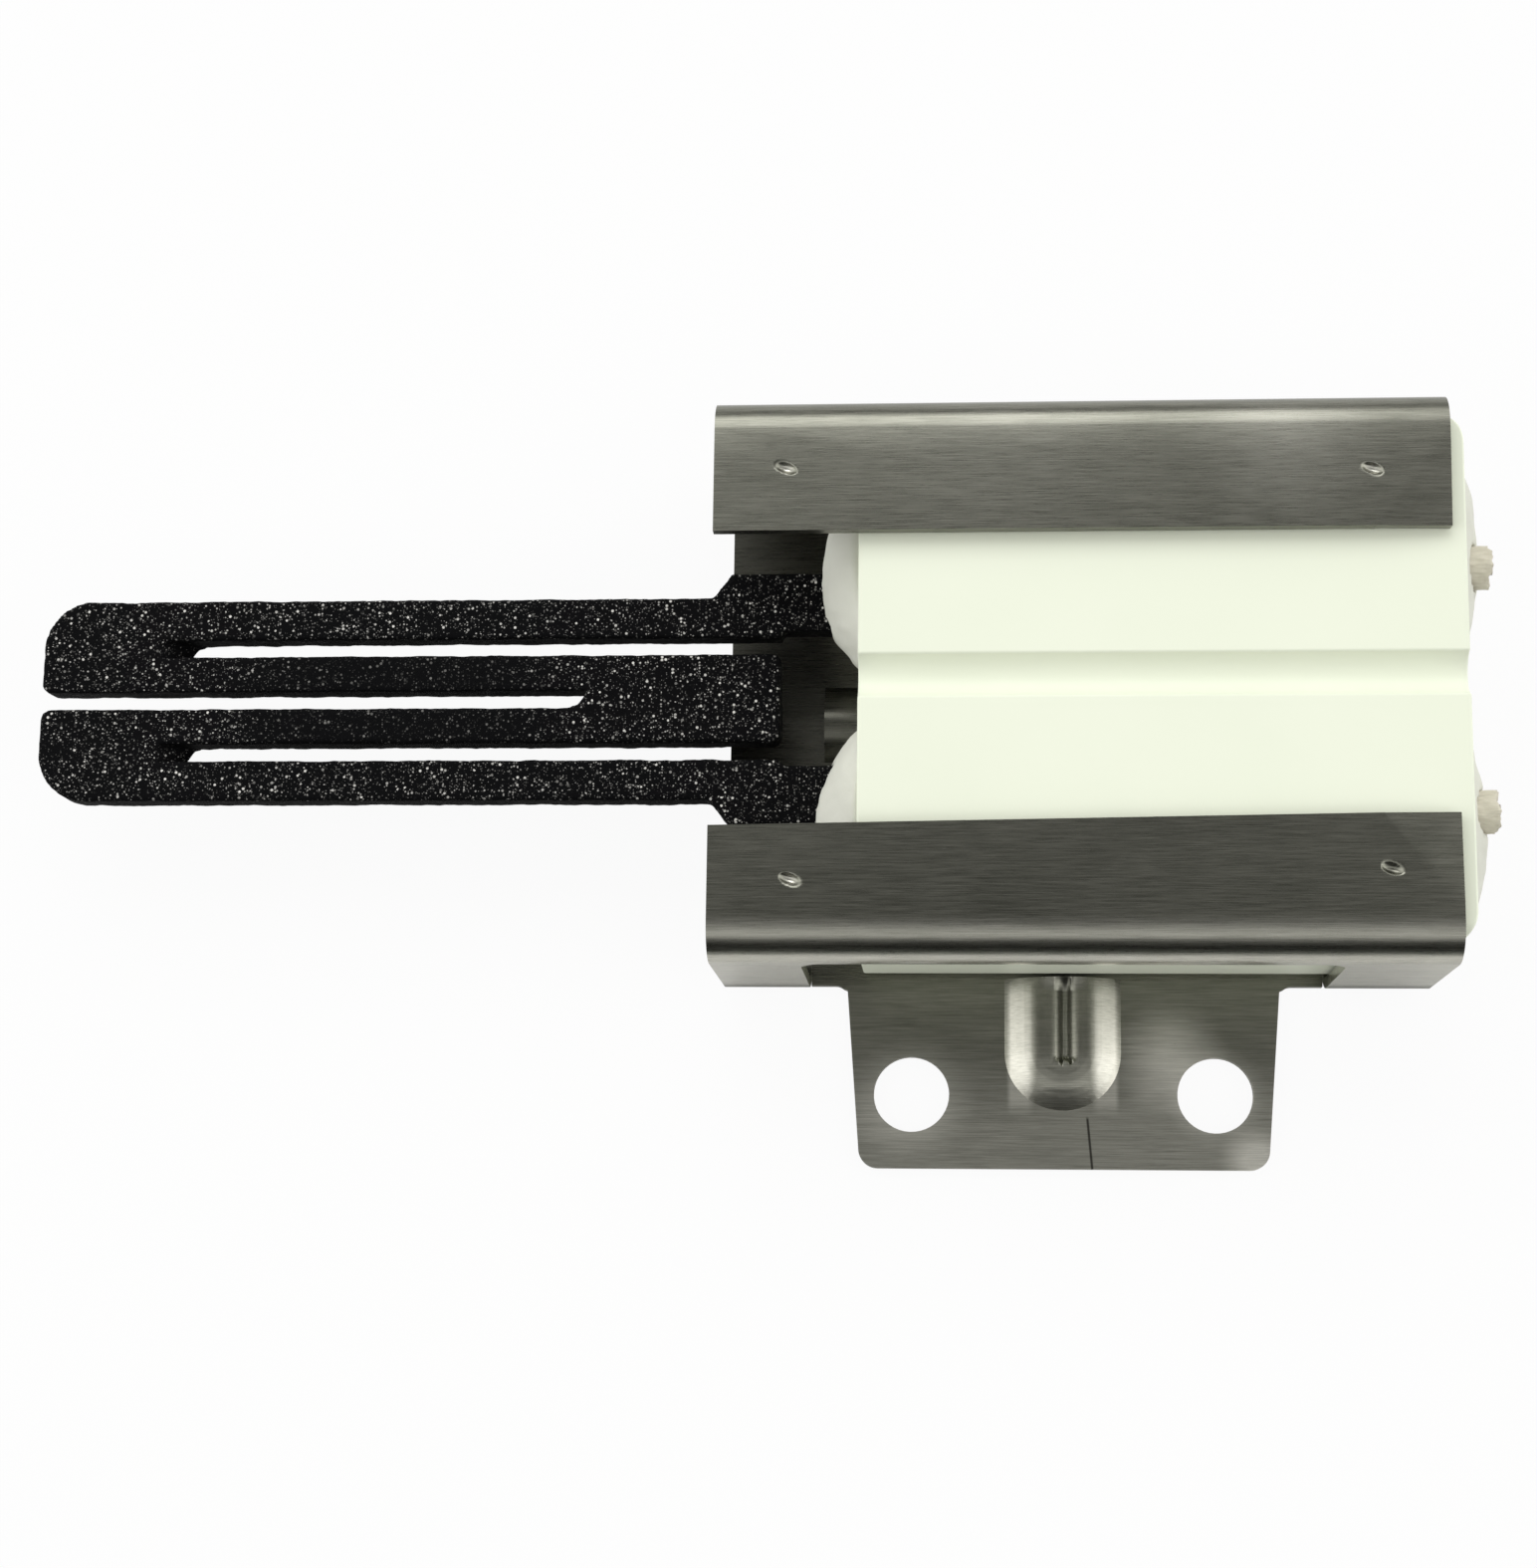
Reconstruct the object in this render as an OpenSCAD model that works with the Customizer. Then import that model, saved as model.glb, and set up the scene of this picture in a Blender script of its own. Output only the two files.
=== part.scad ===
// Flat hot surface igniter: a slotted silicon carbide element potted in a
// ceramic block, which a folded stainless channel with a screw tab holds.
//
// Origin: middle of the two screw holes, on the face that the tab is screwed
// down on. X runs along the row of holes, with the hot tip towards -X and the
// leads towards +X. Y runs from the tab towards the channel. Z is up.
// "Near" pieces lie on the tab's side of the element, "far" pieces opposite.

/* [Sheet metal channel] */
// Thickness of the stainless strip
sheet_t = 0.7; // [0.5:0.05:0.9]
// Inside radius of every bend, and of the long edges of the ceramic block
bend_r = 1.5; // [1:0.1:2]
// Length of the channel along the element
channel_l = 44; // [42:0.5:48]
// Middle of the channel, measured along X from the middle of the screw holes
channel_shift = 0.7; // [-1:0.1:2]
// Row of screw holes to the outer face of the near wall
hole_to_wall = 6.6; // [6:0.1:9]
// Width of the far top flange, measured from the outer face of its wall
far_flange_w = 8.6; // [6:0.1:10]
// Width of the near top flange at the channel's front
near_flange_w = 7.95; // [6:0.05:9.5]
// How much wider the near flange is at the channel's rear
flange_slant = 0.75; // [0:0.05:1.5]

/* [Screw tab] */
// Diameter of the screw holes
hole_d = 4.76; // [3:0.01:5.5]
// Distance between the screw holes
hole_spacing = 19.05; // [17:0.05:20]
// Width of the tab where it leaves the channel
tab_root_w = 27.2; // [26.8:0.1:29]
// Width of the tab at its free end
tab_end_w = 25.7; // [25:0.1:26.6]
// Row of screw holes to the free end of the tab
tab_reach = 4.65; // [3.8:0.05:7]
// Radius of the free corners of the tab
tab_corner_r = 1.2; // [0.5:0.1:2]
// Radius of the notches at the root of the tab
relief_r = 0.7; // [0.4:0.1:0.9]
// Depth of the notches, measured from the outer face of the near wall
relief_depth = 0.3; // [0.1:0.1:0.6]

/* [Window over the tab] */
// Width of the window in the near wall
window_w = 32.2; // [31:0.1:34]
// Middle of the window, measured along X from the middle of the screw holes
window_shift = 0.2; // [-0.3:0.1:0.5]
// Height of the window's upper edge above the mounting face
window_top = 12; // [8:0.1:12.1]
// Radius of the window's upper corners
window_r = 1.5; // [0.5:0.1:3]

/* [Pressed forms] */
// Width of the stiffening bead at the tab's surface
bead_w = 7.3; // [5:0.1:9]
// Height of the stiffening bead above the tab's surface
bead_h = 1.5; // [0.9:0.1:1.6]
// How far the bead's round end runs past the row of screw holes
bead_reach = 1; // [0:0.1:2]
// Gap between the bead's inner end and the side of the block
bead_gap = 0.2; // [0.1:0.05:0.4]
// Width of the lanced stop in front of the block
stop_w = 5; // [4:0.1:6]
// Height of the stop above the channel's floor
stop_h = 1.2; // [0.9:0.1:1.6]
// Length of the stop
stop_l = 2.6; // [1.5:0.1:3.5]
// Gap between the stop and the block
stop_gap = 0.05; // [0.02:0.01:0.2]
// Length of the crimped flange corners along the channel
crimp_l = 4.5; // [3:0.1:6]
// Width of the crimped flange corners across the channel
crimp_w = 5.2; // [3:0.1:5.6]
// Gap left between a crimped corner and the block
crimp_gap = 0.02; // [0.01:0.01:0.1]

/* [Ceramic block] */
// Length of the block
block_l = 36.2; // [34:0.1:38]
// Width of the block
block_w = 32.8; // [31:0.1:36]
// Height of the block
block_h = 12.7; // [12:0.1:14]
// Gap between the block and each wall of the channel
side_gap = 0.2; // [0.1:0.05:0.4]
// Gap between the block and the flanges above it
top_gap = 0.25; // [0.15:0.05:0.5]
// How far the block stands out of the channel's rear end
block_out = 0.95; // [0:0.05:2]
// Radius of the block's upright rear corners
block_corner_r = 2.2; // [0.5:0.1:4]
// Width of the grooves along the middle of the block
groove_w = 2.6; // [1.5:0.1:3.5]
// Depth of the grooves
groove_depth = 1; // [0.5:0.1:1.2]
// Width of each of the two cavities through the block
cavity_w = 12; // [11:0.1:12.5]
// Height of each cavity
cavity_h = 8; // [7.6:0.1:9]
// Radius of the cavity's corners
cavity_r = 1.5; // [0.5:0.1:3]
// Thickness of the wall between the two cavities
web_t = 3.9; // [3:0.1:4.5]

/* [Igniter element] */
// Thickness of the element
element_t = 1.8; // [1.2:0.1:2.4]
// Width across the four hot legs
hot_w = 12.9; // [12.4:0.1:13.6]
// Width of the three slots
slot_w = 1.1; // [0.6:0.05:1.3]
// Width of the two outer hot legs
outer_leg_w = 2.55; // [2.3:0.05:2.9]
// Front face of the block to the hot tip
element_out = 51.85; // [45:0.05:60]
// Radius of the tip's outer corners
tip_r = 3.1; // [1:0.1:4]
// Radius of the small corners at the middle slot and of the inner legs' end
small_r = 0.6; // [0.3:0.1:0.9]
// Tip to the closed end of the middle slot, on the top
middle_slot_l = 34.15; // [28:0.05:38]
// Tip to the closed end of the outer slots, on the underside
outer_slot_start = 9.5; // [6:0.1:14]
// Radius of the disc that cuts the slots
saw_r = 6.5; // [5:0.1:8]
// How far the cutting disc reaches through the element
saw_overcut = 0.8; // [0.4:0.1:1.5]
// Width across the two cold legs
cold_w = 16; // [15:0.1:17]
// Width of each cold leg
cold_leg_w = 3.7; // [3.2:0.1:4]
// Front face of the block to the shoulder, where the legs are full width
shoulder_out = 8.15; // [6.5:0.05:10]
// Length of the sloping shoulder
shoulder_l = 1.2; // [0.8:0.1:2]
// Front face of the block to the joined end of the inner legs
inner_end_out = 5; // [3.5:0.1:6]
// How deep the cold legs reach into the block
cold_in = 14.5; // [10:0.5:18]

/* [Leads] */
// Diameter of the stranded lead wire
wire_d = 1.6; // [1:0.1:1.8]
// Strands around the middle one
strand_count = 6; // [6:1:6]
// Outer diameter of the woven sleeve
sleeve_d = 2.7; // [2.4:0.1:3.6]
// Clearance around the wire in the sleeve, the braze and the cement
wire_gap = 0.05; // [0.02:0.01:0.15]
// Distance between the two leads
lead_pitch = 15.2; // [14:0.1:16.4]
// Length of each lead stub behind the block
lead_out = 2.2; // [2:0.05:20]
// How far the cut wire stands out of its sleeve
wire_bare = 0.1; // [0:0.05:1]
// Thickness of the sprayed metal caps on the cold ends
cap_t = 0.25; // [0.1:0.05:0.4]
// Length of the cold end that each cap covers
cap_l = 4.5; // [3:0.1:6]
// Diameter of the braze that holds each wire on its cap
braze_d = 2.7; // [2.2:0.1:3]
// Length of the braze
braze_l = 3.6; // [2:0.1:4]
// Thickness of the braze under each wire
braze_under = 0.12; // [0.05:0.01:0.3]

/* [Cement] */
// Depth of the front cement in each cavity
front_fill = 8; // [4:0.5:9]
// How far the front cement bulges out of the block
front_bulge = 2.75; // [1.5:0.05:3]
// Width of each front bulge
front_bulge_w = 12.4; // [12:0.1:13]
// How far the rear cement bulges out of the block
rear_bulge = 1.8; // [1:0.1:2.1]
// Width of each rear bulge, which spreads over the block's rear face
rear_bulge_w = 14.6; // [12:0.1:15]
// Height of every bulge
bulge_h = 9; // [8:0.1:10]

/* [Hidden] */
$fn = 48;

// Extra reach of every cutting shape past the face that it cuts
cut = 1;
// Overlap of stretches of one piece that meet end to end
lap = 0.1;
// Sideways factors: the near side is towards -Y, the far side towards +Y
near = -1;
far = 1;

// Channel, outside
outer_r = bend_r + sheet_t;
channel_w = block_w + 2 * (side_gap + sheet_t);
channel_h = block_h + top_gap + 2 * sheet_t;
front_x = channel_shift - channel_l / 2;
rear_x = channel_shift + channel_l / 2;
wall_y = hole_to_wall;
mid_y = wall_y + channel_w / 2;

// Block
block_rear_x = rear_x + block_out;
block_front_x = block_rear_x - block_l;
block_mid_z = sheet_t + block_h / 2;
cavity_y = (web_t + cavity_w) / 2;
groove_r = (pow(groove_w / 2, 2) + pow(groove_depth, 2)) / (2 * groove_depth);

// Bead and stop: radius of an arc of the given width and height
bead_r = (pow(bead_w / 2, 2) + pow(bead_h, 2)) / (2 * bead_h);
stop_r = (pow(stop_w / 2, 2) + pow(stop_h, 2)) / (2 * stop_h);

// Crimped corners: turned down until they almost touch the block
crimp_arm = crimp_l * crimp_w / norm([crimp_l, crimp_w]);
crimp_turn = asin((top_gap - crimp_gap) / crimp_arm);

// Element
tip_x = block_front_x - element_out;
shoulder_x = block_front_x - shoulder_out;
inner_end_x = block_front_x - inner_end_out;
cold_end_x = block_front_x + cold_in;
element_top = block_mid_z + element_t / 2;
inner_leg_y = hot_w / 2 - outer_leg_w - slot_w;
cold_leg_y = (cold_w - cold_leg_w) / 2;
saw_z = saw_r - saw_overcut - element_t / 2;
saw_back = sqrt(pow(saw_r, 2) - pow(saw_r - saw_overcut, 2));

// Leads
lead_y = lead_pitch / 2;
lead_z = element_top + cap_t + braze_under + wire_gap + wire_d / 2;
wire_bore = wire_d + 2 * wire_gap;
lead_end_x = block_rear_x + lead_out;
wire_start_x = cold_end_x - cap_l / 2 - braze_l / 2;
sleeve_start_x = cold_end_x + cap_t + 1.5;
strand_r = wire_d / 6;

// Square with rounded corners, centred on the origin
module rounded_square(w, h, r) {
    square([w - 2 * r, h], center = true);
    square([w, h - 2 * r], center = true);
    for (x = [-1, 1], y = [-1, 1])
        translate([x * (w / 2 - r), y * (h / 2 - r)])
            circle(r);
}

// Stretch of a constant section along X, with the section drawn in Y and Z
module along_x(x_from, x_to) {
    translate([x_from, 0, 0])
        rotate([90, 0, 90])
            linear_extrude(x_to - x_from)
                children();
}

// Section of the channel before its top is opened between the flanges
module channel_section() {
    translate([mid_y, channel_h / 2])
        difference() {
            rounded_square(channel_w, channel_h, outer_r);
            rounded_square(channel_w - 2 * sheet_t, channel_h - 2 * sheet_t, bend_r);
        }
}

// Place across the channel of a flange's inner edge, at a place along it
function edge_y(side, x) =
    side == near ? wall_y + near_flange_w + flange_slant * (x - front_x) / channel_l
                 : wall_y + channel_w - far_flange_w;

// Opening between the two flanges
module flange_gap() {
    translate([0, 0, channel_h / 2])
        linear_extrude(channel_h)
            polygon([[front_x - cut, edge_y(near, front_x - cut)], [front_x - cut, edge_y(far, 0)],
                     [rear_x + cut, edge_y(far, 0)], [rear_x + cut, edge_y(near, rear_x + cut)]]);
}

// Outline of the tab, from its free end to the floor of the channel
module tab_outline() {
    side = (tab_root_w - tab_end_w) / 2 / (tab_reach + wall_y);
    end_half = tab_end_w / 2 - tab_corner_r;
    root_half = tab_root_w / 2;
    window_from = window_shift - window_w / 2;
    window_to = window_shift + window_w / 2;
    notch_y = wall_y + relief_depth - relief_r;
    floor_y = wall_y + outer_r;
    difference() {
        union() {
            polygon([[-end_half, -tab_reach], [end_half, -tab_reach],
                     [end_half + tab_corner_r, -tab_reach + tab_corner_r],
                     [root_half, wall_y], [root_half + relief_r, wall_y + relief_depth],
                     [window_to, wall_y + relief_depth], [window_to, floor_y + lap],
                     [window_from, floor_y + lap], [window_from, wall_y + relief_depth],
                     [-root_half - relief_r, wall_y + relief_depth], [-root_half, wall_y],
                     [-end_half - tab_corner_r, -tab_reach + tab_corner_r]]);
            for (s = [-1, 1])
                translate([s * end_half, -tab_reach + tab_corner_r])
                    circle(tab_corner_r);
        }
        for (s = [-1, 1])
            translate([s * (root_half + relief_r + side * relief_r), notch_y])
                circle(relief_r);
        for (s = [-1, 1])
            translate([s * hole_spacing / 2, 0])
                circle(d = hole_d);
    }
}

// What the window takes out of the near wall and of its lower bend
module window_cut() {
    upper_w = window_w - 2 * window_r;
    translate([window_shift, wall_y + outer_r, 0])
        rotate([90, 0, 0])
            linear_extrude(outer_r + cut) {
                translate([-window_w / 2, -cut])
                    square([window_w, window_top - window_r + cut]);
                translate([-upper_w / 2, 0])
                    square([upper_w, window_top]);
                for (s = [-1, 1])
                    translate([s * upper_w / 2, window_top - window_r])
                        circle(window_r);
            }
}

// Rounded ridge of the bead, at the given radius about its axis
module bead_ridge(r, inner_y) {
    end_y = bead_w / 2 - bead_reach;
    translate([0, end_y, sheet_t + bead_h - bead_r]) {
        rotate([-90, 0, 0])
            cylinder(r = r, h = inner_y - end_y, $fn = 96);
        sphere(r, $fn = 96);
    }
}

// Arched ridge of the lanced stop, at the given radius about its axis
module stop_ridge(r, x_from, x_to) {
    translate([x_from, mid_y, sheet_t + stop_h - stop_r])
        rotate([0, 90, 0])
            cylinder(r = r, h = x_to - x_from, $fn = 96);
}

// Flange corner at the channel's rear end, on the near or the far side
module crimp_plate(side, depth, reach) {
    crease_x = rear_x - crimp_l;
    crease_y = edge_y(side, rear_x) + side * crimp_w;
    translate([0, 0, channel_h - depth])
        linear_extrude(depth)
            polygon([[crease_x, edge_y(side, crease_x)], [rear_x, crease_y],
                     [rear_x + reach, crease_y], [rear_x + reach, edge_y(side, rear_x) - side * reach],
                     [crease_x, edge_y(side, crease_x) - side * reach]]);
}

// The same corner, turned down about its crease
module crimped_corner(side) {
    start = [rear_x - crimp_l, edge_y(side, rear_x - crimp_l), channel_h];
    run = edge_y(side, rear_x) + side * crimp_w - start.y;
    slope = atan2(run, crimp_l);
    translate(start)
        rotate([0, 0, slope])
            rotate([side * crimp_turn, 0, 0])
                rotate([0, 0, -slope])
                    translate(-start)
                        crimp_plate(side, sheet_t, 0);
}

// One piece of folded strip: channel, tab, bead, stop and crimped corners
module mounting_bracket() {
    bead_end_y = wall_y + sheet_t + side_gap - bead_gap;
    stop_x = block_front_x - stop_gap;
    color([0.55, 0.54, 0.5])
        union() {
            difference() {
                union() {
                    difference() {
                        along_x(front_x, rear_x)
                            channel_section();
                        flange_gap();
                        window_cut();
                        crimp_plate(near, channel_h / 2, cut);
                        crimp_plate(far, channel_h / 2, cut);
                    }
                    linear_extrude(sheet_t)
                        tab_outline();
                    intersection() {
                        bead_ridge(bead_r, bead_end_y);
                        translate([-bead_w, -tab_reach, 0])
                            cube([2 * bead_w, tab_reach + bead_end_y, channel_h]);
                    }
                    intersection() {
                        stop_ridge(stop_r, stop_x - stop_l, stop_x);
                        translate([stop_x - stop_l, mid_y - stop_w, 0])
                            cube([stop_l, 2 * stop_w, channel_h]);
                    }
                }
                bead_ridge(bead_r - sheet_t, bead_end_y);
                stop_ridge(stop_r - sheet_t, stop_x - stop_l, stop_x);
            }
            crimped_corner(near);
            crimped_corner(far);
        }
}

// Opening of one cavity, drawn in Y and Z
module cavity_section(side) {
    translate([mid_y + side * cavity_y, block_mid_z])
        rounded_square(cavity_w, cavity_h, cavity_r);
}

// Ceramic block with two through cavities and a groove above and below
module ceramic_block() {
    inner_l = block_l - block_corner_r;
    color([0.94, 0.96, 0.88])
        intersection() {
            along_x(block_front_x, block_rear_x)
                difference() {
                    translate([mid_y, block_mid_z])
                        rounded_square(block_w, block_h, bend_r);
                    cavity_section(near);
                    cavity_section(far);
                    for (s = [-1, 1])
                        translate([mid_y, block_mid_z + s * (block_h / 2 - groove_depth + groove_r)])
                            circle(groove_r);
                }
            translate([block_front_x, mid_y, 0])
                linear_extrude(channel_h) {
                    translate([-cut, -block_w / 2 - cut])
                        square([inner_l + cut, block_w + 2 * cut]);
                    translate([0, -block_w / 2 + block_corner_r])
                        square([block_l, block_w - 2 * block_corner_r]);
                    for (s = [-1, 1])
                        translate([inner_l, s * (block_w / 2 - block_corner_r)])
                            circle(block_corner_r);
                }
        }
}

// Outline of the element without its slots
module element_outline() {
    half = hot_w / 2;
    difference() {
        union() {
            translate([tip_x + tip_r, -half])
                square([shoulder_x - shoulder_l - tip_x - tip_r, hot_w]);
            translate([tip_x, -half + tip_r])
                square([tip_r + cut, hot_w - 2 * tip_r]);
            for (s = [-1, 1])
                translate([tip_x + tip_r, s * (half - tip_r)])
                    circle(tip_r);
            polygon([[shoulder_x - shoulder_l, -half], [shoulder_x, -cold_w / 2],
                     [cold_end_x, -cold_w / 2], [cold_end_x, cold_w / 2],
                     [shoulder_x, cold_w / 2], [shoulder_x - shoulder_l, half]]);
        }
        translate([inner_end_x, -cold_w / 2 + cold_leg_w])
            square([cold_end_x - inner_end_x + cut, cold_w - 2 * cold_leg_w]);
        for (s = [-1, 1]) {
            translate([inner_end_x - small_r, s * (inner_leg_y - small_r)])
                rotate(s * 45 - 45)
                    corner_round();
            translate([tip_x + small_r, s * (slot_w / 2 + small_r)])
                rotate(135 + s * 45)
                    corner_round();
        }
    }
}

// What a rounded corner leaves of its square, in the first quadrant
module corner_round() {
    difference() {
        square(small_r + cut / 4);
        circle(small_r);
    }
}

// Slot cut by a disc that runs between two places of its centre, above or below the element
module slot(y, z, x_from, x_to) {
    for (x = [x_from, x_to])
        translate([x, y + slot_w / 2, z])
            rotate([90, 0, 0])
                cylinder(r = saw_r, h = slot_w, $fn = 96);
    translate([x_from, y - slot_w / 2, z - saw_r])
        cube([x_to - x_from, slot_w, 2 * saw_r]);
}

// The two cold legs, grown by the given coat on every side
module cold_legs(side, x_from, coat) {
    translate([x_from, mid_y + side * cold_leg_y - cold_leg_w / 2 - coat,
               block_mid_z - element_t / 2 - coat])
        cube([cold_end_x + coat - x_from, cold_leg_w + 2 * coat, element_t + 2 * coat]);
}

// Silicon carbide element: two hairpins, joined at their inner legs
module igniter_element() {
    slot_y = inner_leg_y + slot_w / 2;
    color([0.1, 0.1, 0.1])
        translate([0, mid_y, block_mid_z])
            difference() {
                translate([0, 0, -element_t / 2])
                    linear_extrude(element_t)
                        element_outline();
                slot(0, -saw_z, tip_x - saw_r, tip_x + middle_slot_l - saw_back);
                for (s = [-1, 1])
                    slot(s * slot_y, saw_z, tip_x + outer_slot_start + saw_back, inner_end_x + saw_r / 4);
            }
}

// Bulge of cement at one end of a cavity, arched across and along the opening
module bulge(side, face_x, reach, w, turn) {
    across_r = (pow(w / 2, 2) + pow(reach, 2)) / (2 * reach);
    upright_r = (pow(bulge_h / 2, 2) + pow(reach, 2)) / (2 * reach);
    translate([face_x, mid_y + side * cavity_y, block_mid_z])
        rotate([0, 0, turn])
            intersection() {
                translate([reach - across_r, 0, 0])
                    rotate_extrude($fn = 96)
                        intersection() {
                            translate([across_r - upright_r, 0])
                                circle(upright_r, $fn = 96);
                            translate([0, -bulge_h / 2])
                                square([across_r, bulge_h]);
                        }
                translate([0, -w / 2, -bulge_h / 2])
                    cube([reach + cut, w, bulge_h]);
            }
}

// Cement at the front of a cavity, cast round the cold leg
module front_cement(side) {
    color([0.86, 0.86, 0.78])
        difference() {
            union() {
                along_x(block_front_x, block_front_x + front_fill)
                    cavity_section(side);
                bulge(side, block_front_x, front_bulge, front_bulge_w, 180);
            }
            cold_legs(side, inner_end_x - cut, 0);
        }
}

// Cement behind it, cast round the joint and the lead
module rear_cement(side) {
    color([0.86, 0.86, 0.78])
        difference() {
            union() {
                along_x(block_front_x + front_fill, block_rear_x)
                    cavity_section(side);
                bulge(side, block_rear_x, rear_bulge, rear_bulge_w, 0);
            }
            cold_legs(side, block_front_x, 0);
            cold_legs(side, cold_end_x - cap_l, cap_t);
            lead_rod(side, wire_start_x, block_rear_x, wire_bore);
            lead_rod(side, wire_start_x, wire_start_x + braze_l, braze_d);
            lead_rod(side, sleeve_start_x, block_rear_x + lead_out + cut, sleeve_d);
        }
}

// Round bar along one lead
module lead_rod(side, x_from, x_to, d) {
    translate([x_from, mid_y + side * lead_y, lead_z])
        rotate([0, 90, 0])
            cylinder(d = d, h = x_to - x_from);
}

// Sprayed metal cap on the end of one cold leg
module end_cap(side) {
    color([0.75, 0.76, 0.77])
        difference() {
            cold_legs(side, cold_end_x - cap_l, cap_t);
            cold_legs(side, cold_end_x - cap_l - cut, 0);
        }
}

// Braze over the wire, on top of the cap
module braze(side) {
    color([0.8, 0.7, 0.45])
        difference() {
            lead_rod(side, wire_start_x, wire_start_x + braze_l, braze_d);
            cold_legs(side, cold_end_x - cap_l, cap_t);
            lead_rod(side, wire_start_x - cut, wire_start_x + braze_l + cut, wire_bore);
        }
}

// Stranded lead wire, from its cap to the cut end
module lead_wire(side) {
    color([0.6, 0.55, 0.48])
        translate([0, mid_y + side * lead_y, lead_z])
            along_x(wire_start_x, lead_end_x + wire_bare) {
                circle(strand_r * 1.1);
                for (i = [0 : strand_count - 1])
                    rotate(i * 360 / strand_count)
                        translate([2 * strand_r, 0])
                            circle(strand_r);
                circle(2 * strand_r);
            }
}

// Woven sleeve over the wire
module lead_sleeve(side) {
    color([0.82, 0.77, 0.62])
        difference() {
            lead_rod(side, sleeve_start_x, lead_end_x, sleeve_d);
            lead_rod(side, sleeve_start_x - cut, lead_end_x + cut, wire_bore);
        }
}

module near_front_cement() front_cement(near);
module far_front_cement() front_cement(far);
module near_rear_cement() rear_cement(near);
module far_rear_cement() rear_cement(far);
module near_end_cap() end_cap(near);
module far_end_cap() end_cap(far);
module near_braze() braze(near);
module far_braze() braze(far);
module near_lead_wire() lead_wire(near);
module far_lead_wire() lead_wire(far);
module near_lead_sleeve() lead_sleeve(near);
module far_lead_sleeve() lead_sleeve(far);

mounting_bracket();
ceramic_block();
igniter_element();
near_front_cement();
far_front_cement();
near_rear_cement();
far_rear_cement();
near_end_cap();
far_end_cap();
near_braze();
far_braze();
near_lead_wire();
far_lead_wire();
near_lead_sleeve();
far_lead_sleeve();
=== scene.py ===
"""Looks of a flat hot surface igniter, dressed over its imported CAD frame."""
import math

import bmesh
import bpy
import numpy as np
from mathutils import Matrix, Vector


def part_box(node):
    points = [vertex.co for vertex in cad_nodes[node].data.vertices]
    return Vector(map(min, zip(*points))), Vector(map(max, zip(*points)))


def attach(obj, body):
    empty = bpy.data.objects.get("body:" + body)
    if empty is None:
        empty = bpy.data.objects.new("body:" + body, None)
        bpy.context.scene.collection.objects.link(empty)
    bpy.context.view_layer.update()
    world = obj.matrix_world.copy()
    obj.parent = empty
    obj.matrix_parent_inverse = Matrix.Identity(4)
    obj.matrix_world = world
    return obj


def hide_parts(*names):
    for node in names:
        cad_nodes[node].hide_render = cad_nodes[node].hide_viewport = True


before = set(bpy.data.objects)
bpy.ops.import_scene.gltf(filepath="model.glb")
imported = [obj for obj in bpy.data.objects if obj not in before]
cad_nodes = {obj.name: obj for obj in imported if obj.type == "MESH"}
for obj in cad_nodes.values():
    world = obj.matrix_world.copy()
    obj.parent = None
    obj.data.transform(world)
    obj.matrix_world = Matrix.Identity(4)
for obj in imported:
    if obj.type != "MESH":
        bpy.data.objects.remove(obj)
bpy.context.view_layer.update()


# ---- Floor and light ----
# A pale plain floor under the part that ends in a dark bench on the near side, a
# soft sky that is dark almost straight above and low on the near side and bright
# at the left and the right, and one broad lamp from the far side.

MM = 0.001


class Value:
    """A shader socket that Python's operators work on: each of them adds one Math node."""

    def __init__(self, nodes, socket):
        self.nodes = nodes
        self.socket = socket

    def math(self, operation, *others):
        """The result of a Math node of this kind on the value and the others."""
        inputs = dict(enumerate([self, *others]))
        return self.nodes.add("ShaderNodeMath", inputs, operation=operation)

    def __add__(self, other):
        return self.math("ADD", other)

    def __sub__(self, other):
        return self.math("SUBTRACT", other)

    def __rsub__(self, other):
        return self.nodes.add("ShaderNodeMath", {0: other, 1: self}, operation="SUBTRACT")

    def __mul__(self, other):
        return self.math("MULTIPLY", other)

    __radd__ = __add__
    __rmul__ = __mul__


class Nodes:
    """A node tree that is written one call at a time."""

    def __init__(self, tree):
        self.tree = tree

    def add(self, kind, inputs=None, out=0, **settings):
        """Adds a node: its settings first, then the values or links of its sockets."""
        node = self.tree.nodes.new(kind)
        for key, value in settings.items():
            setattr(node, key, value)
        for key, value in (inputs or {}).items():
            self.put(node, key, value)
        return Value(self, node.outputs[out])

    def put(self, node, key, value):
        """Links a value to a node's socket, or sets the socket to a constant."""
        if isinstance(value, Value):
            self.tree.links.new(value.socket, node.inputs[key])
        else:
            node.inputs[key].default_value = value

    def span(self, value, low, high, to_low=0.0, to_high=1.0):
        """The value's place between low and high, eased at both ends, as a value between two others."""
        return self.add("ShaderNodeMapRange",
                        {"Value": value, "From Min": low, "From Max": high,
                         "To Min": to_low, "To Max": to_high}, interpolation_type="SMOOTHSTEP")

    def mix(self, factor, first, second):
        """A colour between two others."""
        return self.add("ShaderNodeMix", {0: factor, 6: first, 7: second}, out=2,
                        data_type="RGBA")


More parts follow.
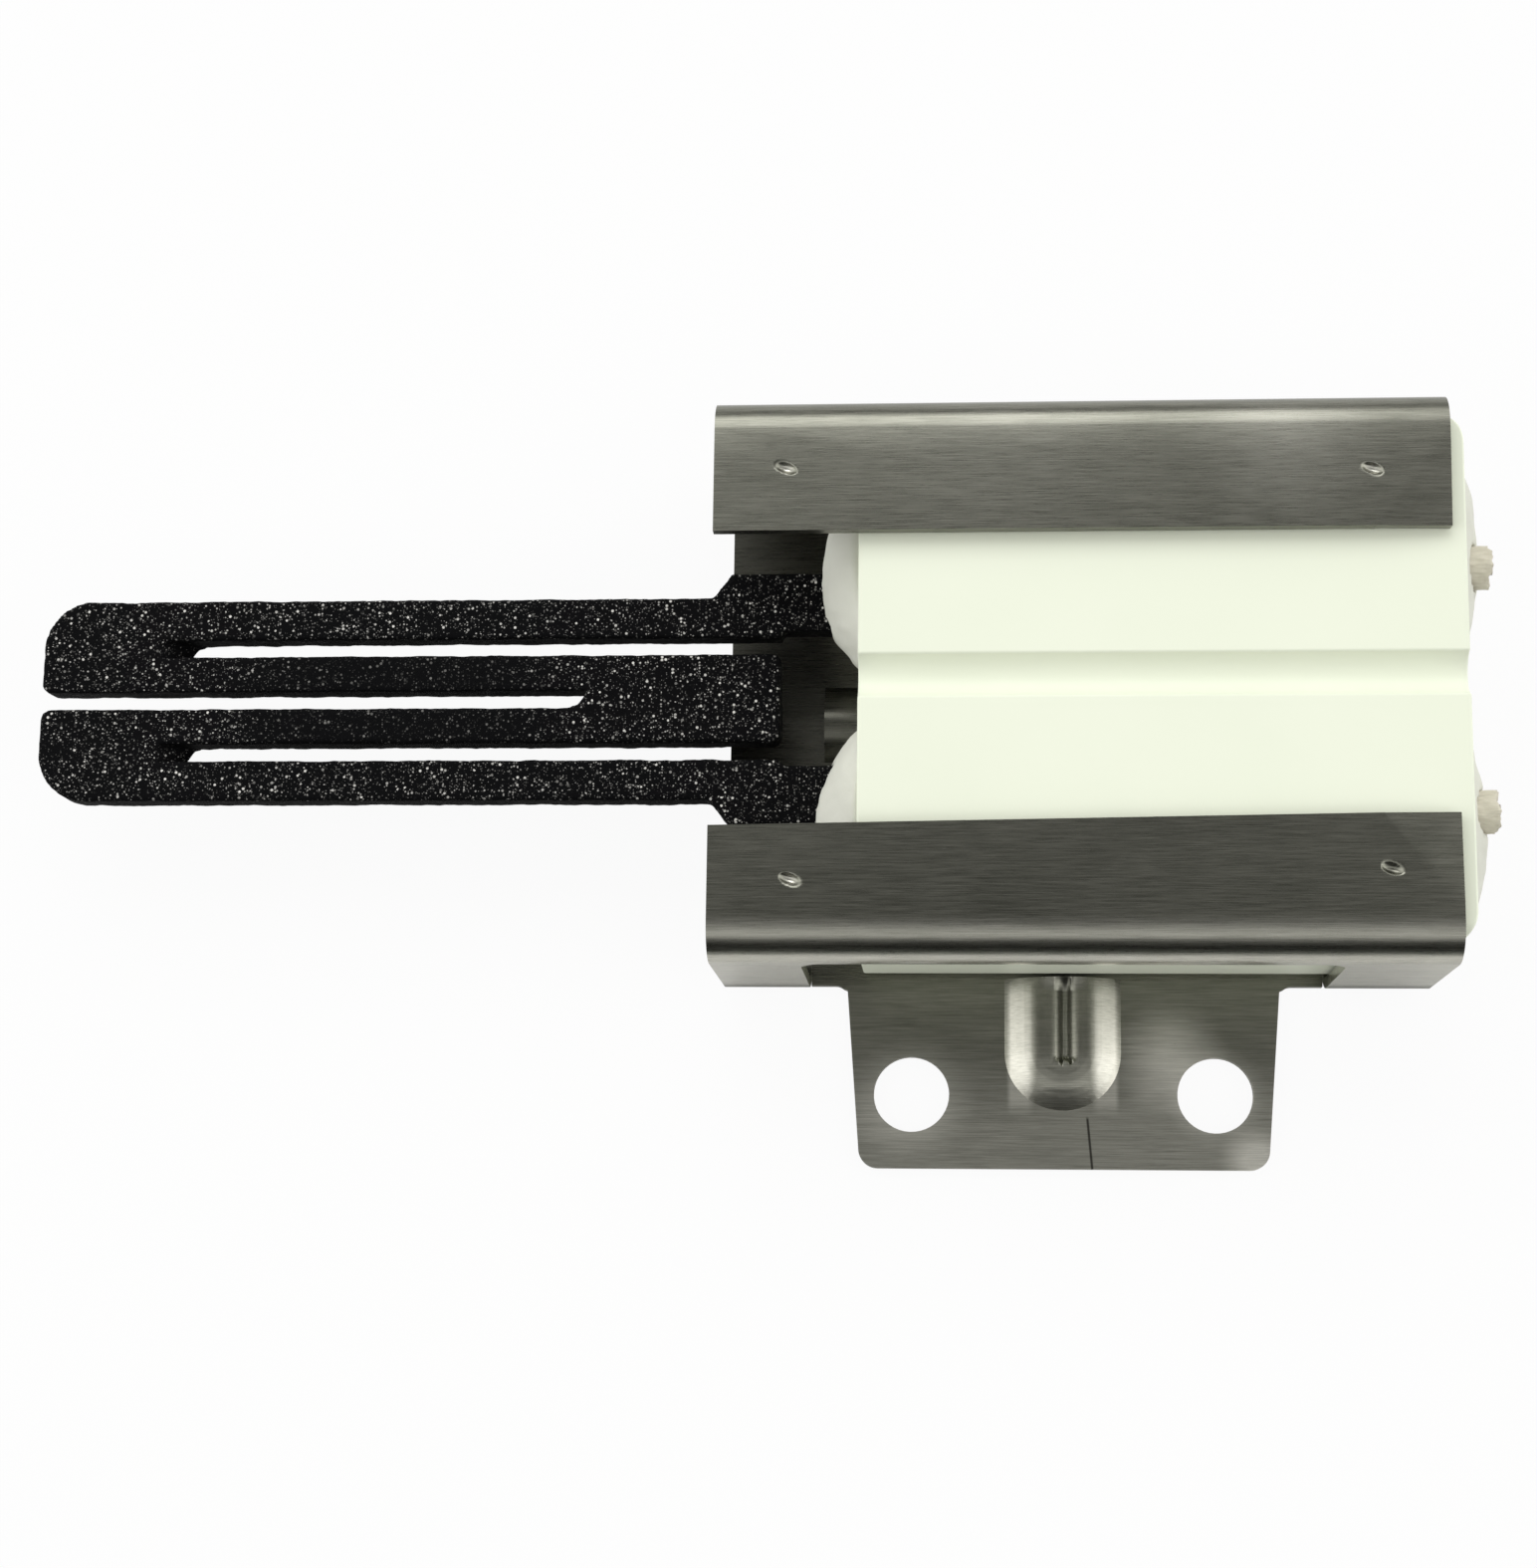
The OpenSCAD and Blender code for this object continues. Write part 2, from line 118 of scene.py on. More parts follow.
class Finish(Nodes):
    """A procedural material, whose patterns lie in the object's own millimetres."""

    def __init__(self, name, **constants):
        self.material = bpy.data.materials.new(name)
        self.material.use_nodes = True
        super().__init__(self.material.node_tree)
        self.shader = self.tree.nodes["Principled BSDF"]
        self.feed(constants)

    def feed(self, values):
        """Puts values or links on the shader's sockets; an underscore stands for a space."""
        for key, value in values.items():
            self.put(self.shader, key.replace("_", " "), value)

    def place(self, scale):
        """Object coordinates in millimetres, times the given scale along each axis."""
        spot = self.add("ShaderNodeTexCoord", out=3)
        return self.add("ShaderNodeVectorMath", {0: spot, 1: [s / MM for s in scale]},
                        operation="MULTIPLY")

    def axis(self, index):
        """One of the object coordinates, in millimetres."""
        return self.add("ShaderNodeSeparateXYZ", {0: self.place((1, 1, 1))}, out=index)

    def attribute(self, name):
        """A number that the mesh holds at each of its points."""
        return self.add("ShaderNodeAttribute", out=2, attribute_name=name)

    def patch(self, x, y, radius):
        """A soft round patch: 1 at the given place, falling to 0 at the given radius."""
        away = self.add("ShaderNodeVectorMath", {0: self.place((1, 1, 0)), 1: (x, y, 0)}, out=1,
                        operation="DISTANCE")
        return self.span(away, radius, 0.0)

    def noise(self, scale, detail=3.0, roughness=0.5):
        """Cloudy noise from 0 to 1, with the given number of waves per millimetre on each axis."""
        return self.add("ShaderNodeTexNoise", {"Vector": self.place(scale), "Scale": 1.0,
                                               "Detail": detail, "Roughness": roughness})

    def bump(self, height, depth, strength=1.0):
        """Bumps of the given height in millimetres, on the shader's normal."""
        self.feed({"Normal": self.add("ShaderNodeBump", {"Height": height, "Strength": strength,
                                                         "Distance": depth * MM})})


def mesh_object(name, points, faces):
    """An object in the part's frame, from points in millimetres and their faces."""
    mesh = bpy.data.meshes.new(name)
    mesh.from_pydata((np.asarray(points) * MM).tolist(), [], faces)
    made = bpy.data.objects.new(name, mesh)
    bpy.context.scene.collection.objects.link(made)
    return made


floor_reach = 900
floor = mesh_object("floor", [(-floor_reach, -floor_reach, 0), (floor_reach, -floor_reach, 0),
                              (floor_reach, floor_reach, 0), (-floor_reach, floor_reach, 0)],
                    [(0, 1, 2, 3)])
floor.location.z = -0.02 * MM
floor_look = Finish("floor_paper", Roughness=0.9)
paper_end = -32
bench_start = -65
bench = floor_look.span(floor_look.axis(1), paper_end, bench_start)
floor_look.feed({"Base_Color": floor_look.mix(bench, (0.8, 0.8, 0.8, 1), (0.03, 0.045, 0.03, 1))})
rays = floor_look.tree.nodes.new("ShaderNodeLightPath")
seen = Value(floor_look, rays.outputs["Is Camera Ray"])
seen = seen.math("MAXIMUM", Value(floor_look, rays.outputs["Is Transmission Ray"]))
white = floor_look.add("ShaderNodeEmission", {"Color": (1, 1, 1, 1), "Strength": 1.0})
shade_share = 0.07
mixed = floor_look.add("ShaderNodeMixShader",
                       {0: seen * (1 - shade_share),
                        1: Value(floor_look, floor_look.shader.outputs[0]), 2: white})
floor_look.tree.links.new(mixed.socket, floor_look.tree.nodes["Material Output"].inputs["Surface"])
floor.data.materials.append(floor_look.material)

world = bpy.data.worlds.new("soft_sky")
world.use_nodes = True
bpy.context.scene.world = world
sky = Nodes(world.node_tree)
direction = sky.add("ShaderNodeTexCoord", out=0)
axes = sky.tree.nodes.new("ShaderNodeSeparateXYZ")
sky.tree.links.new(direction.socket, axes.inputs[0])
sky_x, sky_y, sky_z = (Value(sky, axes.outputs[i]) for i in range(3))
above = 0.174 * sky_y + 0.9848 * sky_z
overhead = sky.span(above, 0.995, 0.93, 0.07, 0.65) + sky.span(above, 0.9, 0.62, 0.0, 0.75)
sideways = sky_x.math("ABSOLUTE")
low_down = 1 - sky.span(sky_z, 0.5, 0.22, 0.0, 0.8) * (1 - sideways)
side_glow = sky.span(sideways, 0.55, 0.9, 0.0, 1.0)
near_dark = sky.span(sky_y, -0.5, -0.8, 1.0, 0.05)
sky.put(sky.tree.nodes["Background"], "Color", (1, 1, 0.985, 1))
glow = (overhead * low_down + side_glow) * near_dark * 0.85
to_camera = sky.tree.nodes.new("ShaderNodeLightPath")
to_camera = Value(sky, to_camera.outputs["Is Camera Ray"])
sky.put(sky.tree.nodes["Background"], "Strength", glow * (1 - to_camera) + to_camera)

lamp_data = bpy.data.lights.new("far_softbox", "AREA")
lamp_data.energy = 1.6
lamp_data.size = 0.5
lamp = bpy.data.objects.new("far_softbox", lamp_data)
bpy.context.scene.collection.objects.link(lamp)
lamp.location = (-0.1, 0.55, 0.55)
part_middle = Vector((0, 0.02, 0))
lamp.rotation_euler = (lamp.location - part_middle).to_track_quat("Z", "Y").to_euler()


# ---- Mounting bracket ----
# One folded piece of brushed stainless strip: floor, walls, flanges, screw tab,
# bead and lanced stop. Its edges are slightly rolled by the blanking die, a punch
# has left four small marks in the flanges, and the bead's crest has a torn crease.


def dressed_copy(node, name, edge_r, segments=2):
    """A copy of a CAD node's mesh, merged, with every edge sharper than 30 degrees rounded."""
    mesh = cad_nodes[node].data.copy()
    mesh.name = name
    mesh.materials.clear()
    made = bpy.data.objects.new(name, mesh)
    bpy.context.scene.collection.objects.link(made)
    work = bmesh.new()
    work.from_mesh(mesh)
    bmesh.ops.remove_doubles(work, verts=work.verts, dist=0.0005 * MM)
    bmesh.ops.dissolve_limit(work, angle_limit=math.radians(0.5), verts=work.verts,
                             edges=work.edges)
    if edge_r:
        sharp = [e for e in work.edges
                 if len(e.link_faces) == 2 and e.calc_face_angle() > math.radians(30)]
        rounding = work.faces.layers.float.new("rounding")
        rounded = bmesh.ops.bevel(work, geom=sharp, offset=edge_r * MM, offset_type="OFFSET",
                                  segments=segments, profile=0.5, affect="EDGES",
                                  clamp_overlap=True)
        for face in rounded["faces"]:
            face[rounding] = 1
    work.to_mesh(mesh)
    work.free()
    mesh.shade_smooth()
    return made


def finished(piece, finish, slot, *nodes):
    """Gives a piece its material and its place in the frame."""
    piece.data.materials.clear()
    piece.data.materials.append(finish.material)
    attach(piece, "root")
    if nodes:
        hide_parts(*nodes)
    return piece


def even_shading(piece):
    """Flat faces stay flat up to their rounded edges. Each point's normal is the mean of the
    faces round it, weighed by their angle there, and the rounded edges hardly count."""
    mesh = piece.data
    count = len(mesh.loops)
    corner = np.empty(count, dtype=np.int32)
    mesh.loops.foreach_get("vertex_index", corner)
    size = np.empty(len(mesh.polygons), dtype=np.int32)
    mesh.polygons.foreach_get("loop_total", size)
    normal = np.empty(len(mesh.polygons) * 3, dtype=np.float32)
    mesh.polygons.foreach_get("normal", normal)
    share = np.empty(len(mesh.polygons), dtype=np.float32)
    mesh.attributes["rounding"].data.foreach_get("value", share)
    face = np.repeat(np.arange(len(size)), size)
    first = np.repeat(np.cumsum(size) - size, size)
    here = np.arange(count)
    after = first + (here - first + 1) % size[face]
    before = first + (here - first - 1) % size[face]
    place = coordinates(piece)
    ahead = place[corner[after]] - place[corner]
    behind = place[corner[before]] - place[corner]
    lengths = np.linalg.norm(ahead, axis=1) * np.linalg.norm(behind, axis=1)
    angle = np.arccos(np.clip((ahead * behind).sum(axis=1) / np.maximum(lengths, 1e-12), -1, 1))
    weight = angle * np.where(share[face] > 0.5, 0.0001, 1.0)
    weighed = normal.reshape(-1, 3)[face] * weight[:, None]
    total = np.stack([np.bincount(corner, weighed[:, i], len(place)) for i in range(3)], axis=1)
    total /= np.maximum(np.linalg.norm(total, axis=1), 1e-12)[:, None]
    mesh.normals_split_custom_set_from_vertices(total.tolist())


def coordinates(piece):
    """The piece's vertices in millimetres, one row each."""
    points = np.empty(len(piece.data.vertices) * 3)
    piece.data.vertices.foreach_get("co", points)
    return points.reshape(-1, 3) / MM


def moved(piece, points):
    """Puts the piece's vertices at the given points in millimetres."""
    piece.data.vertices.foreach_set("co", (points * MM).ravel())
    piece.data.update()


bracket_high = np.array(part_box("mounting_bracket")[1]) / MM
hole_to_wall = 6.6
pips = [(-16.9, 36.5), (-16.4, 11.3), (18.06, 36.13), (18.6, 11.93)]
# Three of the punch marks get a painted highlight in the steel's colour.
highlighted_pips = pips[:3]
# The steel's colour holds its brush lines, flecks and a scratch, and painted light: highlights and
# shade in the channel.
steel = Finish("brushed_stainless", Metallic=1.0)
wall_side = (steel.axis(1) - (bracket_high[1] + hole_to_wall) / 2).math("ABSOLUTE")
on_wall = steel.span(wall_side, 16.45, 16.65)
on_wall = on_wall * steel.span(steel.axis(2), 1.7, 2.2) * steel.span(steel.axis(2), 12.6, 12.1)
flat_lines = steel.noise((0.35, 15, 2.5), detail=4, roughness=0.75)
wall_lines = steel.noise((0.35, 2.5, 15), detail=4, roughness=0.75)
fine_lines = flat_lines * (1 - on_wall) + wall_lines * on_wall
long_lines = steel.noise((0.06, 3.2, 1.5), detail=3)
patches = steel.noise((0.16, 0.3, 0.3), detail=3)
tone = steel.span(fine_lines * 0.68 + long_lines * 0.14 + patches * 0.18, 0.3, 0.7)
over_tab = steel.span(steel.axis(2), 3.5, 2.4) * steel.span(steel.axis(1), 7.5, 6.0)
# Painted highlights: pale glint patches on the tab, most round the right screw hole, lighten the
# steel's colour.
tab_glints = steel.patch(6.6, 2.2, 4.2) + steel.patch(9.4, 0, 3.6) + steel.patch(12, -4, 2.6)
tab_glints = (tab_glints + steel.patch(-9.6, -0.5, 4.5) * 0.7) * over_tab
# Painted highlight: the bead's two flanks are lightened in the steel's colour.
flank = steel.axis(0).math("ABSOLUTE")
flank = steel.span(flank, 1.7, 2.3) * steel.span(flank, 3.6, 3.2) * steel.span(steel.axis(1), -1.5, 0)
# Painted reflection of the pale floor: the near wall's outer face is lightened from about 3 mm up.
near_wall_reflection = steel.span(steel.axis(1), 7.4, 7.0) * steel.span(steel.axis(2), 2.6, 4.0)
# Painted light: the tab's colour grows lighter towards its free end, away from the shade by the wall.
tab_end_light = over_tab * steel.span(steel.axis(1), 3.5, -1.5, 0.0, 0.22)
# The plain steel and a lit copy of it; the lit copy is where the painted highlights go.
plain = steel.mix(tone, (0.15, 0.152, 0.125, 1), (0.29, 0.288, 0.245, 1))
lit_steel = steel.mix(tone, (0.6, 0.59, 0.52, 1), (0.9, 0.88, 0.8, 1))
# Painted highlights: bright patches on the far flange, a light band along the near wall's top bend and
# light spots in three punch marks.
on_top = steel.span(steel.axis(2), 13.5, 14.2)
flange_highlight = on_top * (steel.patch(13, 38.2, 7) * 0.22 + steel.patch(-4, 39, 9) * 0.08)
bend_highlight = steel.span(steel.axis(1), 9.3, 8.6) * steel.span(steel.axis(1), 7.2, 8.0)
flange_highlight = flange_highlight + bend_highlight * steel.span(steel.axis(2), 13.0, 13.6) * 0.3
for pip_x, pip_y in highlighted_pips:
    flange_highlight = flange_highlight + steel.patch(pip_x, pip_y, 0.55) * on_top * 0.8
# All of this is painted light in the steel's colour; the rounded edges get a painted highlight too.
highlight_share = tab_glints * 0.95 + tab_end_light + flank * over_tab * 0.6 + near_wall_reflection * 0.65 + flange_highlight
highlight_share = highlight_share + steel.attribute("rounding") * 0.4
# Painted shade: the channel's floor and the lowest 3 mm inside it are darkened.
inside = steel.span(steel.axis(2), 3, 1) * steel.span(steel.axis(1), 8, 10)
base = steel.mix(highlight_share, plain, lit_steel)
scratch_x = 1.52 - 0.09 * (steel.axis(1) + 1.5)
scratch = steel.span((steel.axis(0) - scratch_x).math("ABSOLUTE"), 0.11, 0.04)
scratch = scratch * steel.span(steel.axis(1), -1.3, -1.6) * over_tab
fleck = steel.span(steel.noise((1.1, 6, 1.5), detail=3, roughness=0.6), 0.7, 0.82)
# Darkening from a real scratch and flecks, and painted shade in the channel.
dark = scratch * 0.85 + fleck * 0.35 + inside * 0.5
steel.feed({"Base_Color": steel.mix(dark, base, (0.03, 0.028, 0.024, 1)),
            "Roughness": 0.22 + 0.12 * fine_lines + 0.1 * over_tab})
steel.bump(fine_lines * 0.6 + patches * 0.4, 0.01, 0.5)


def cut_finer(work, chosen, axis, places):
    """Cuts the chosen faces along planes across one axis, at the given places in millimetres."""
    bmesh.ops.triangulate(work, faces=[f for f in work.faces if chosen(f) and len(f.verts) > 4])
    normal = [0, 0, 0]
    normal[axis] = 1
    for place in places:
        spot = [0, 0, 0]
        spot[axis] = place * MM
        faces = [f for f in work.faces if chosen(f)]
        around = set(faces) | {e for f in faces for e in f.edges} | {v for f in faces for v in f.verts}
        bmesh.ops.bisect_plane(work, geom=list(around), dist=1e-8, plane_co=spot, plane_no=normal)


def on_tab(face):
    """Faces of the tab and of the bead on it."""
    middle = face.calc_center_median() / MM
    return middle.y < 7.5 and middle.z < 2.6


def on_flanges(face):
    """The two flanges, with their edges and their undersides."""
    return face.calc_center_median().z / MM > bracket_high[2] - 1


bead_h = 1.5
bead_arc_r = 5.19
crest_h = 1.22
crest_share = 0.85
tear_y = 1.95
groove_x = 0.12
groove_half = 0.44
groove_depth = 0.6


def bead_change(x, y):
    """Change of height over the bead: a flat crest, and a creased groove along it that ends in a
    ragged tear. What stands above the crest's height is taken off, less a soft share of it, and
    the groove is a bell curve across X that starts at the tear."""
    arc = bead_h - bead_arc_r + np.sqrt(np.maximum(bead_arc_r ** 2 - x ** 2, 0))
    crest = -np.maximum(arc - crest_h, 0) * crest_share * np.clip((y - 0.4) / 1.2, 0, 1)
    end = tear_y + 0.14 * np.sin(11 * x) + 0.1 * np.sin(23 * x + 1)
    groove = groove_depth * np.exp(-((x - groove_x) / groove_half) ** 2)
    return crest - groove * np.clip((y - end) / 0.22, 0, 1)


rolled_r = 0.12
pip_half_l = 0.66
pip_half_w = 0.36
pip_depth = 0.28
pip_lean = 0.25
pip_cut_l = 0.92
pip_cut_w = 0.68
bracket = dressed_copy("mounting_bracket", "bracket_dressed", rolled_r)
work = bmesh.new()
work.from_mesh(bracket.data)
cut_finer(work, on_tab, 0, np.arange(-3.7, 3.75, 0.11))
cut_finer(work, on_tab, 1, np.arange(-1.4, 6.8, 0.2))
for pip_x, pip_y in pips:
    cut_finer(work, on_flanges, 0, pip_x + np.linspace(-1, 1, 17) * pip_cut_l)
for pip_y in sorted(pip[1] for pip in pips):
    cut_finer(work, on_flanges, 1, pip_y + np.linspace(-1, 1, 13) * pip_cut_w)
work.to_mesh(bracket.data)
work.free()
points = coordinates(bracket)
x, y, z = points.T
in_bead = (np.abs(x) < 3.6) & (y < 6.75) & (z < 2.5) & (y > -2)
points[:, 2] += np.where(in_bead, bead_change(x, y), 0)
for pip_x, pip_y in pips:
    along_pip = (x - pip_x) / pip_half_l
    across_pip = (y - pip_y + pip_lean * (x - pip_x)) / pip_half_w
    dip = pip_depth * np.clip(1 - along_pip ** 2 - across_pip ** 2, 0, None) ** 0.8
    points[:, 2] -= np.where(z > bracket_high[2] - 0.02, dip, 0)
moved(bracket, points)
bracket.data.shade_smooth()
even_shading(bracket)
finished(bracket, steel, "bracket_steel", "mounting_bracket")


# ---- Ceramic block ----
# Pressed and fired white steatite with a faint green tint, slightly rounded at
# every edge by the press tool, matt and almost without texture.

ceramic = Finish("steatite", Roughness=0.5, Specular_IOR_Level=0.35)
fired = ceramic.noise((0.9, 0.9, 0.9), detail=5, roughness=0.65)
cloud = ceramic.noise((0.12, 0.12, 0.12), detail=2)
ceramic.feed({"Base_Color": ceramic.mix(cloud, (0.84, 0.885, 0.73, 1), (0.88, 0.915, 0.77, 1))})
ceramic.bump(fired, 0.02, 0.35)

block = dressed_copy("ceramic_block", "block_dressed", 0.35, segments=3)
even_shading(block)
finished(block, ceramic, "block_ceramic", "ceramic_block")


# ---- Igniter element ----
# Sintered silicon carbide, sawn to shape: a dull black body full of crystals
# whose faces sparkle. The sparkle is painted as pale glints in the base colour,
# mostly on faces that look up. The surface is as rough as fine emery all over.

def applied(piece, kind, **settings):
    """The piece's mesh after one modifier, put in its place."""
    step = piece.modifiers.new("step", kind)
    for key, value in settings.items():
        setattr(step, key, value)
    depsgraph = bpy.context.evaluated_depsgraph_get()
    mesh = bpy.data.meshes.new_from_object(piece.evaluated_get(depsgraph))
    piece.modifiers.clear()
    piece.data = mesh
    return piece


def directions(piece):
    """The piece's vertex normals, one row each."""
    normals = np.empty(len(piece.data.vertices) * 3, dtype=np.float32)
    piece.data.vertex_normals.foreach_get("vector", normals)
    return normals.reshape(-1, 3)


def kept_inside(points, node):
    """The points, pulled back into the CAD node's box."""
    low, high = (np.array(corner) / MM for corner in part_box(node))
    return np.clip(points, low, high)


def waves(points, wavelength, seed, count=24):
    """Smooth random relief from -1 to 1: a sum of plane waves in random directions."""
    draw = np.random.default_rng(seed)
    total = np.zeros(len(points))
    for _ in range(count):
        across = draw.normal(size=3)
        across *= 2 * math.pi / (wavelength * draw.uniform(0.6, 1.6) * np.linalg.norm(across))
        total += np.sin(points @ across + draw.uniform(0, 2 * math.pi))
    return total / math.sqrt(count)


element = dressed_copy("igniter_element", "element_dressed", 0)
applied(element, "REMESH", mode="VOXEL", voxel_size=0.17 * MM)
applied(element, "SMOOTH", factor=0.5, iterations=1)
points = coordinates(element)
relief = 0.016 * waves(points, 0.7, 11) + 0.02 * waves(points, 2.5, 12)
points = kept_inside(points + directions(element) * relief[:, None], "igniter_element")
element_low, element_high = (np.array(corner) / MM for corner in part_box("igniter_element"))
element_mid = (element_low[1] + element_high[1]) / 2
outer_slot_start = 9.5
middle_slot_l = 34.15
slot_pitch = 3.35
slot_lean = 0.75
slot_ends = [(element_low[0] + outer_slot_start, slot_pitch),
             (element_low[0] + outer_slot_start, -slot_pitch),
             (element_low[0] + middle_slot_l, 0)]
for end_x, end_y in slot_ends:
    off = points[:, 1] - element_mid - end_y
    near_end = np.exp(-((points[:, 0] - end_x) / 1.3) ** 2 - (off / 1.0) ** 4)
    points[:, 0] += slot_lean * off * near_end
# Painted glints fall mostly on faces that look up; steeper faces keep the black.
up = np.clip((directions(element)[:, 2] - 0.55) / 0.3, 0, 1)
moved(element, points)
held = element.data.attributes.new("up", "FLOAT", "POINT")
held.data.foreach_set("value", up.astype(np.float32))
element.data.shade_smooth()

carbide = Finish("silicon_carbide", Specular_IOR_Level=0.03, Roughness=0.6)
# Fewer painted glints on the inner legs, in the middle of their length.
inner_legs = carbide.span((carbide.axis(1) - element_mid).math("ABSOLUTE"), 3.3, 2.6)
dim = carbide.span(carbide.axis(0), -54, -47) * carbide.span(carbide.axis(0), -29, -36) * inner_legs
glint_share = (1 - 0.75 * dim) * (0.06 + 0.74 * carbide.attribute("up"))
glint_share = glint_share * carbide.span(carbide.noise((0.5, 0.5, 0.5), detail=2), 0.25, 0.6, 0.55, 1.0)
glint = None
for scale, least, strength in [(4.4, 0.87, 1.0), (6.8, 0.8, 0.62), (10, 0.7, 0.26)]:
    spot = carbide.place((scale, scale, scale * 1.3))
    lot = carbide.add("ShaderNodeTexVoronoi", {"Vector": spot, "Scale": 1.0}, out=1)
    lot = carbide.add("ShaderNodeSeparateColor", {0: lot}, out=0)
    away = carbide.add("ShaderNodeTexVoronoi", {"Vector": spot, "Scale": 1.0})
    layer = carbide.span(away, 0.46, 0.28) * carbide.span(lot, least, 1.0) * strength
    glint = layer if glint is None else glint.math("MAXIMUM", layer)
glint = glint * glint_share
# The painted glints are near-white spots in the base colour.
carbide.feed({"Base_Color": carbide.mix(glint, (0.0035, 0.0035, 0.004, 1), (0.95, 0.93, 0.88, 1))})
carbide.bump(carbide.noise((3.2, 3.2, 3.2), detail=4, roughness=0.7), 0.05, 0.6)
finished(element, carbide, "silicon_carbide", "igniter_element")


# ---- Cement ----
# Pale refractory cement, cast into the block's cavities by hand: it swells out
# of each opening in an uneven dome round the cold leg or the lead.

cement_look = Finish("refractory_cement", Roughness=0.62, Specular_IOR_Level=0.3)
lumps = cement_look.noise((0.8, 0.8, 0.8), detail=6, roughness=0.7)
stain = cement_look.noise((0.25, 0.25, 0.25), detail=3)
cement_look.feed({"Base_Color": cement_look.mix(stain, (0.64, 0.645, 0.57, 1), (0.74, 0.745, 0.67, 1))})
cement_look.bump(lumps, 0.09, 0.6)

for index, node in enumerate(["near_front_cement", "far_front_cement",
                              "near_rear_cement", "far_rear_cement"]):
    cement = dressed_copy(node, node.replace("cement", "fill"), 0)
    applied(cement, "REMESH", mode="VOXEL", voxel_size=0.24 * MM)
    applied(cement, "SMOOTH", factor=0.6, iterations=3)
    points = coordinates(cement)
    relief = 0.18 * waves(points, 6, 21 + index) + 0.03 * waves(points, 1.4, 31 + index)
    points = kept_inside(points + directions(cement) * relief[:, None], node)
    moved(cement, points)
    cement.data.shade_smooth()
    finished(cement, cement_look, "cement", node)


# ---- Joints inside the block ----
# Sprayed metal caps on the cold ends and the braze that holds each wire on its
# cap. Both are buried in the rear cement, so the CAD shapes are kept.

cap_look = Finish("sprayed_metal", Metallic=1.0)
spray = cap_look.noise((6, 6, 6), detail=4, roughness=0.7)
cap_look.feed({"Base_Color": cap_look.mix(spray, (0.5, 0.5, 0.5, 1), (0.66, 0.66, 0.67, 1)),
               "Roughness": 0.45 + 0.2 * spray})
cap_look.bump(spray, 0.04, 0.6)
braze_look = Finish("braze_alloy", Metallic=1.0)
flow = braze_look.noise((1.5, 1.5, 1.5), detail=3)
braze_look.feed({"Base_Color": braze_look.mix(flow, (0.6, 0.46, 0.24, 1), (0.74, 0.6, 0.36, 1)),
                 "Roughness": 0.28 + 0.2 * flow})
braze_look.bump(flow, 0.03, 0.5)
for side in ["near", "far"]:
    finished(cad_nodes[side + "_end_cap"], cap_look, "cap_metal")
    finished(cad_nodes[side + "_braze"], braze_look, "braze_metal")


# ---- Leads ----
# Stranded nickel wire in a woven glass sleeve, cut off just behind the block,
# where the sleeve has begun to fray.

wire_look = Finish("nickel_strands", Metallic=1.0)
drawn = wire_look.noise((0.6, 9, 9), detail=3)
wire_look.feed({"Base_Color": wire_look.mix(drawn, (0.4, 0.36, 0.3, 1), (0.6, 0.56, 0.48, 1)),
                "Roughness": 0.3 + 0.2 * drawn})
sleeve_look = Finish("glass_braid", Roughness=0.75)
strands = sleeve_look.noise((1.2, 5, 5), detail=3)
sleeve_look.feed({"Base_Color": sleeve_look.mix(strands, (0.5, 0.46, 0.36, 1),
                                                (0.82, 0.78, 0.66, 1))})
sleeve_look.bump(strands, 0.1, 0.8)


def bars(name, paths, radii, around=10):
    """Round bars along paths that run mostly along X. A bar's rings stand across X at the points
    of its path, and a fan closes each end."""
    points = []
    faces = []
    turn = np.arange(around) * 2 * math.pi / around
    for path, radius in zip(paths, radii):
        first = sum(len(rows) for rows in points)
        ring = np.stack([np.zeros(around), np.cos(turn), np.sin(turn)], axis=1) * radius
        points.append((path[:, None, :] + ring[None, :, :]).reshape(-1, 3))
        points.append(path[[0, -1]])
        start = first + np.arange(around)
        then = first + (np.arange(around) + 1) % around
        for step in range(len(path) - 1):
            low = step * around
            faces += np.stack([start + low, start + low + around, then + low + around,
                               then + low], axis=1).tolist()
        end = first + len(path) * around
        last = (len(path) - 1) * around
        faces += np.stack([np.full(around, end), start, then], axis=1).tolist()
        faces += np.stack([np.full(around, end + 1), then + last, start + last], axis=1).tolist()
    made = mesh_object(name, np.concatenate(points), faces)
    made.data.shade_smooth()
    return made


